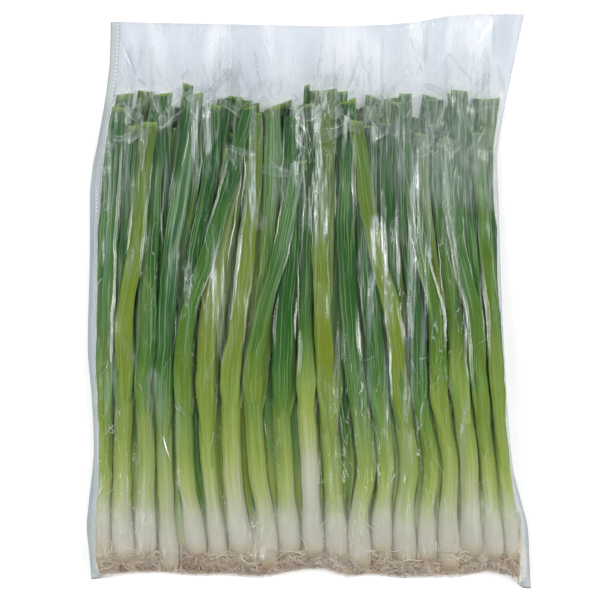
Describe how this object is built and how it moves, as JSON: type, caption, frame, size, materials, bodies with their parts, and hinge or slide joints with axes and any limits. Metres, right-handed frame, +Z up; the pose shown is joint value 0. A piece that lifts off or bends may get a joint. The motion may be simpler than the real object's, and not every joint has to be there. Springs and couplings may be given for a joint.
{
  "type": "spring onion bunch in a clear film bag",
  "caption": "Bunch of trimmed spring onions lying side by side in a flat clear film bag, with white bulbs, root tufts and cut green leaves.",
  "frame": {"origin": "under the middle of the bag, on the surface that the pack lies on", "axes": "+Y from the roots towards the leaf tips and the bag's mouth, +X across the onions, +Z up"},
  "size_m": [0.3064, 0.3978, 0.0374],
  "materials": {
    "spring_onion": "satin plant skin, white at the bulb and green at the leaves",
    "clear_film": "thin clear glossy film"
  },
  "bodies": {
    "root": {"onion_01": "spring_onion", "onion_02": "spring_onion", "onion_03": "spring_onion", "onion_04": "spring_onion", "onion_05": "spring_onion", "onion_06": "spring_onion", "onion_07": "spring_onion", "onion_08": "spring_onion", "onion_09": "spring_onion", "onion_10": "spring_onion", "onion_11": "spring_onion", "onion_12": "spring_onion", "onion_13": "spring_onion", "onion_14": "spring_onion", "onion_15": "spring_onion", "onion_16": "spring_onion", "onion_17": "spring_onion", "onion_18": "spring_onion", "onion_19": "spring_onion", "onion_20": "spring_onion", "onion_21": "spring_onion", "onion_22": "spring_onion", "onion_23": "spring_onion", "onion_24": "spring_onion", "onion_25": "spring_onion", "onion_26": "spring_onion", "onion_27": "spring_onion", "onion_28": "spring_onion", "onion_29": "spring_onion", "onion_30": "spring_onion", "onion_31": "spring_onion", "onion_32": "spring_onion", "onion_33": "spring_onion", "onion_34": "spring_onion", "onion_35": "spring_onion", "onion_36": "spring_onion", "onion_37": "spring_onion", "onion_38": "spring_onion", "onion_39": "spring_onion", "onion_40": "spring_onion", "bag": "clear_film"}
  },
  "joints": []
}
